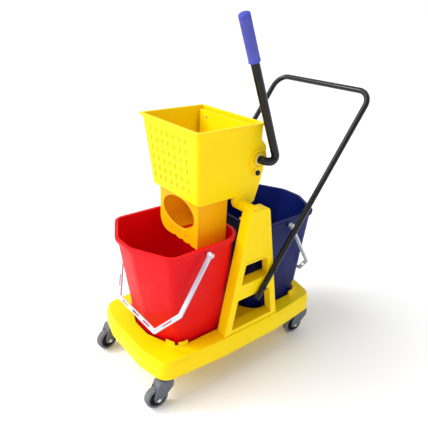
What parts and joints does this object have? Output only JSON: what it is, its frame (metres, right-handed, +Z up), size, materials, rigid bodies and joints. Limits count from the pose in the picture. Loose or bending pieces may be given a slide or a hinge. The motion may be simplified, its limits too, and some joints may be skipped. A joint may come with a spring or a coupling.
{
  "type": "two-bucket mopping trolley with wringer",
  "caption": "Wheeled mopping trolley: tray on swivel casters, clean and used water buckets with carrying bails, side frames, push handle and a geared down-press wringer.",
  "frame": {"origin": "on the floor, under the middle of the trolley's bounding box", "axes": "+Z up; +Y towards the clean-water bucket and the push handle; +X towards the side with the wringer lever"},
  "size_m": [0.4494, 0.8604, 1.1351],
  "materials": {
    "yellow_tray": "smooth moulded, semi-gloss",
    "yellow_frame": "smooth moulded, semi-gloss",
    "yellow_wringer": "smooth moulded, semi-gloss",
    "yellow_throat": "smooth moulded, semi-gloss",
    "red_tub": "smooth moulded, glossy",
    "blue_tub": "smooth moulded, glossy",
    "pale_bail": "fine satin",
    "black_tube": "gloss powder coat",
    "black_plastic": "satin",
    "blue_grip": "fine grained grip",
    "nylon": "natural nylon",
    "zinc_steel": "zinc plated",
    "spring_steel": "drawn wire",
    "caster_steel": "zinc plated",
    "caster_grey": "moulded, satin",
    "caster_rubber": "non-marking tread"
  },
  "bodies": {
    "base": {"base_tray": "yellow_tray", "a_frame_right": "yellow_frame", "a_frame_left": "yellow_frame", "a_frame_bolts": "zinc_steel", "push_handle": "black_tube", "handle_bolts": "black_tube", "handle_plugs": "black_plastic", "caster_stem_front_right": "caster_steel", "caster_stem_front_left": "caster_steel", "caster_stem_rear_right": "caster_steel", "caster_stem_rear_left": "caster_steel", "caster_race_front_right": "caster_grey", "caster_race_front_left": "caster_grey", "caster_race_rear_right": "caster_grey", "caster_race_rear_left": "caster_grey"},
    "fork_front_right": {"caster_fork_front_right": "caster_grey", "caster_axle_front_right": "caster_steel"},
    "wheel_front_right": {"caster_hub_front_right": "caster_grey", "caster_tyre_front_right": "caster_rubber"},
    "fork_front_left": {"caster_fork_front_left": "caster_grey", "caster_axle_front_left": "caster_steel"},
    "wheel_front_left": {"caster_hub_front_left": "caster_grey", "caster_tyre_front_left": "caster_rubber"},
    "fork_rear_right": {"caster_fork_rear_right": "caster_grey", "caster_axle_rear_right": "caster_steel"},
    "wheel_rear_right": {"caster_hub_rear_right": "caster_grey", "caster_tyre_rear_right": "caster_rubber"},
    "fork_rear_left": {"caster_fork_rear_left": "caster_grey", "caster_axle_rear_left": "caster_steel"},
    "wheel_rear_left": {"caster_hub_rear_left": "caster_grey", "caster_tyre_rear_left": "caster_rubber"},
    "wringer": {"wringer_hopper": "yellow_wringer", "wringer_throat": "yellow_throat", "throat_screws": "zinc_steel", "lever_bush_right": "nylon", "lever_bush_left": "nylon", "plate_bush_right": "nylon", "plate_bush_left": "nylon", "return_spring": "spring_steel"},
    "lever": {"lever_tube": "black_tube", "lever_grip": "blue_grip", "lever_axle": "zinc_steel", "lever_axle_cap": "black_plastic", "lever_gear_right": "nylon", "lever_gear_left": "nylon"},
    "press": {"press_plate": "yellow_wringer", "plate_screws": "zinc_steel", "plate_arm_right": "nylon", "plate_arm_left": "nylon", "plate_axle": "zinc_steel", "plate_axle_clips": "black_plastic"},
    "blue_bucket": {"blue_bucket": "blue_tub", "blue_bail_pins": "zinc_steel"},
    "blue_bail": {"blue_bail": "pale_bail"},
    "red_bucket": {"red_bucket": "red_tub", "red_bail_pins": "zinc_steel"},
    "red_bail": {"red_bail": "pale_bail"}
  },
  "joints": [
    {"name": "caster_swivel_front_right", "type": "hinge", "parent": "base", "child": "fork_front_right", "pos_m": [0.17, -0.3585, 0.096], "axis": [0, 0, 1], "continuous": true},
    {"name": "wheel_roll_front_right", "type": "hinge", "parent": "fork_front_right", "child": "wheel_front_right", "pos_m": [0.16704, -0.39237, 0.0375], "axis": [0.9962, -0.0872, 0], "continuous": true},
    {"name": "caster_swivel_front_left", "type": "hinge", "parent": "base", "child": "fork_front_left", "pos_m": [-0.17, -0.3585, 0.096], "axis": [0, 0, 1], "continuous": true},
    {"name": "wheel_roll_front_left", "type": "hinge", "parent": "fork_front_left", "child": "wheel_front_left", "pos_m": [-0.16586, -0.39225, 0.0375], "axis": [0.9925, 0.1219, 0], "continuous": true},
    {"name": "caster_swivel_rear_right", "type": "hinge", "parent": "base", "child": "fork_rear_right", "pos_m": [0.17, 0.2555, 0.096], "axis": [0, 0, 1], "continuous": true},
    {"name": "wheel_roll_rear_right", "type": "hinge", "parent": "fork_rear_right", "child": "wheel_rear_right", "pos_m": [0.16468, 0.22192, 0.0375], "axis": [0.9877, -0.1564, 0], "continuous": true},
    {"name": "caster_swivel_rear_left", "type": "hinge", "parent": "base", "child": "fork_rear_left", "pos_m": [-0.17, 0.2555, 0.096], "axis": [0, 0, 1], "continuous": true},
    {"name": "wheel_roll_rear_left", "type": "hinge", "parent": "fork_rear_left", "child": "wheel_rear_left", "pos_m": [-0.16763, 0.22158, 0.0375], "axis": [0.9976, 0.0698, 0], "continuous": true},
    {"name": "wringer_lift", "type": "slide", "parent": "base", "child": "wringer", "axis": [0, 0, 1], "range_m": [0, 0.4]},
    {"name": "lever_swing", "type": "hinge", "parent": "wringer", "child": "lever", "pos_m": [0, -0.0055, 0.73], "axis": [-1, 0, 0], "range_deg": [0, 76], "stiffness_Nm_per_rad": 2.6, "springref_deg": -34.38},
    {"name": "press_swing", "type": "hinge", "parent": "wringer", "child": "press", "pos_m": [0, -0.0055, 0.686], "axis": [-1, 0, 0], "range_deg": [-59.21, 0]},
    {"name": "blue_bucket_lift", "type": "slide", "parent": "base", "child": "blue_bucket", "axis": [0, 0, 1], "range_m": [0, 0.06]},
    {"name": "blue_bail_swing", "type": "hinge", "parent": "blue_bucket", "child": "blue_bail", "pos_m": [0, 0.1365, 0.484], "axis": [1, 0, 0], "range_deg": [0, 140]},
    {"name": "red_bucket_lift", "type": "slide", "parent": "base", "child": "red_bucket", "axis": [0, 0, 1], "range_m": [0, 0.06]},
    {"name": "red_bail_swing", "type": "hinge", "parent": "red_bucket", "child": "red_bail", "pos_m": [0, -0.2075, 0.484], "axis": [-1, 0, 0], "range_deg": [0, 138]}
  ],
  "couplings": [
    {"joint": "press_swing", "follows": "lever_swing", "ratio": -0.77778}
  ]
}
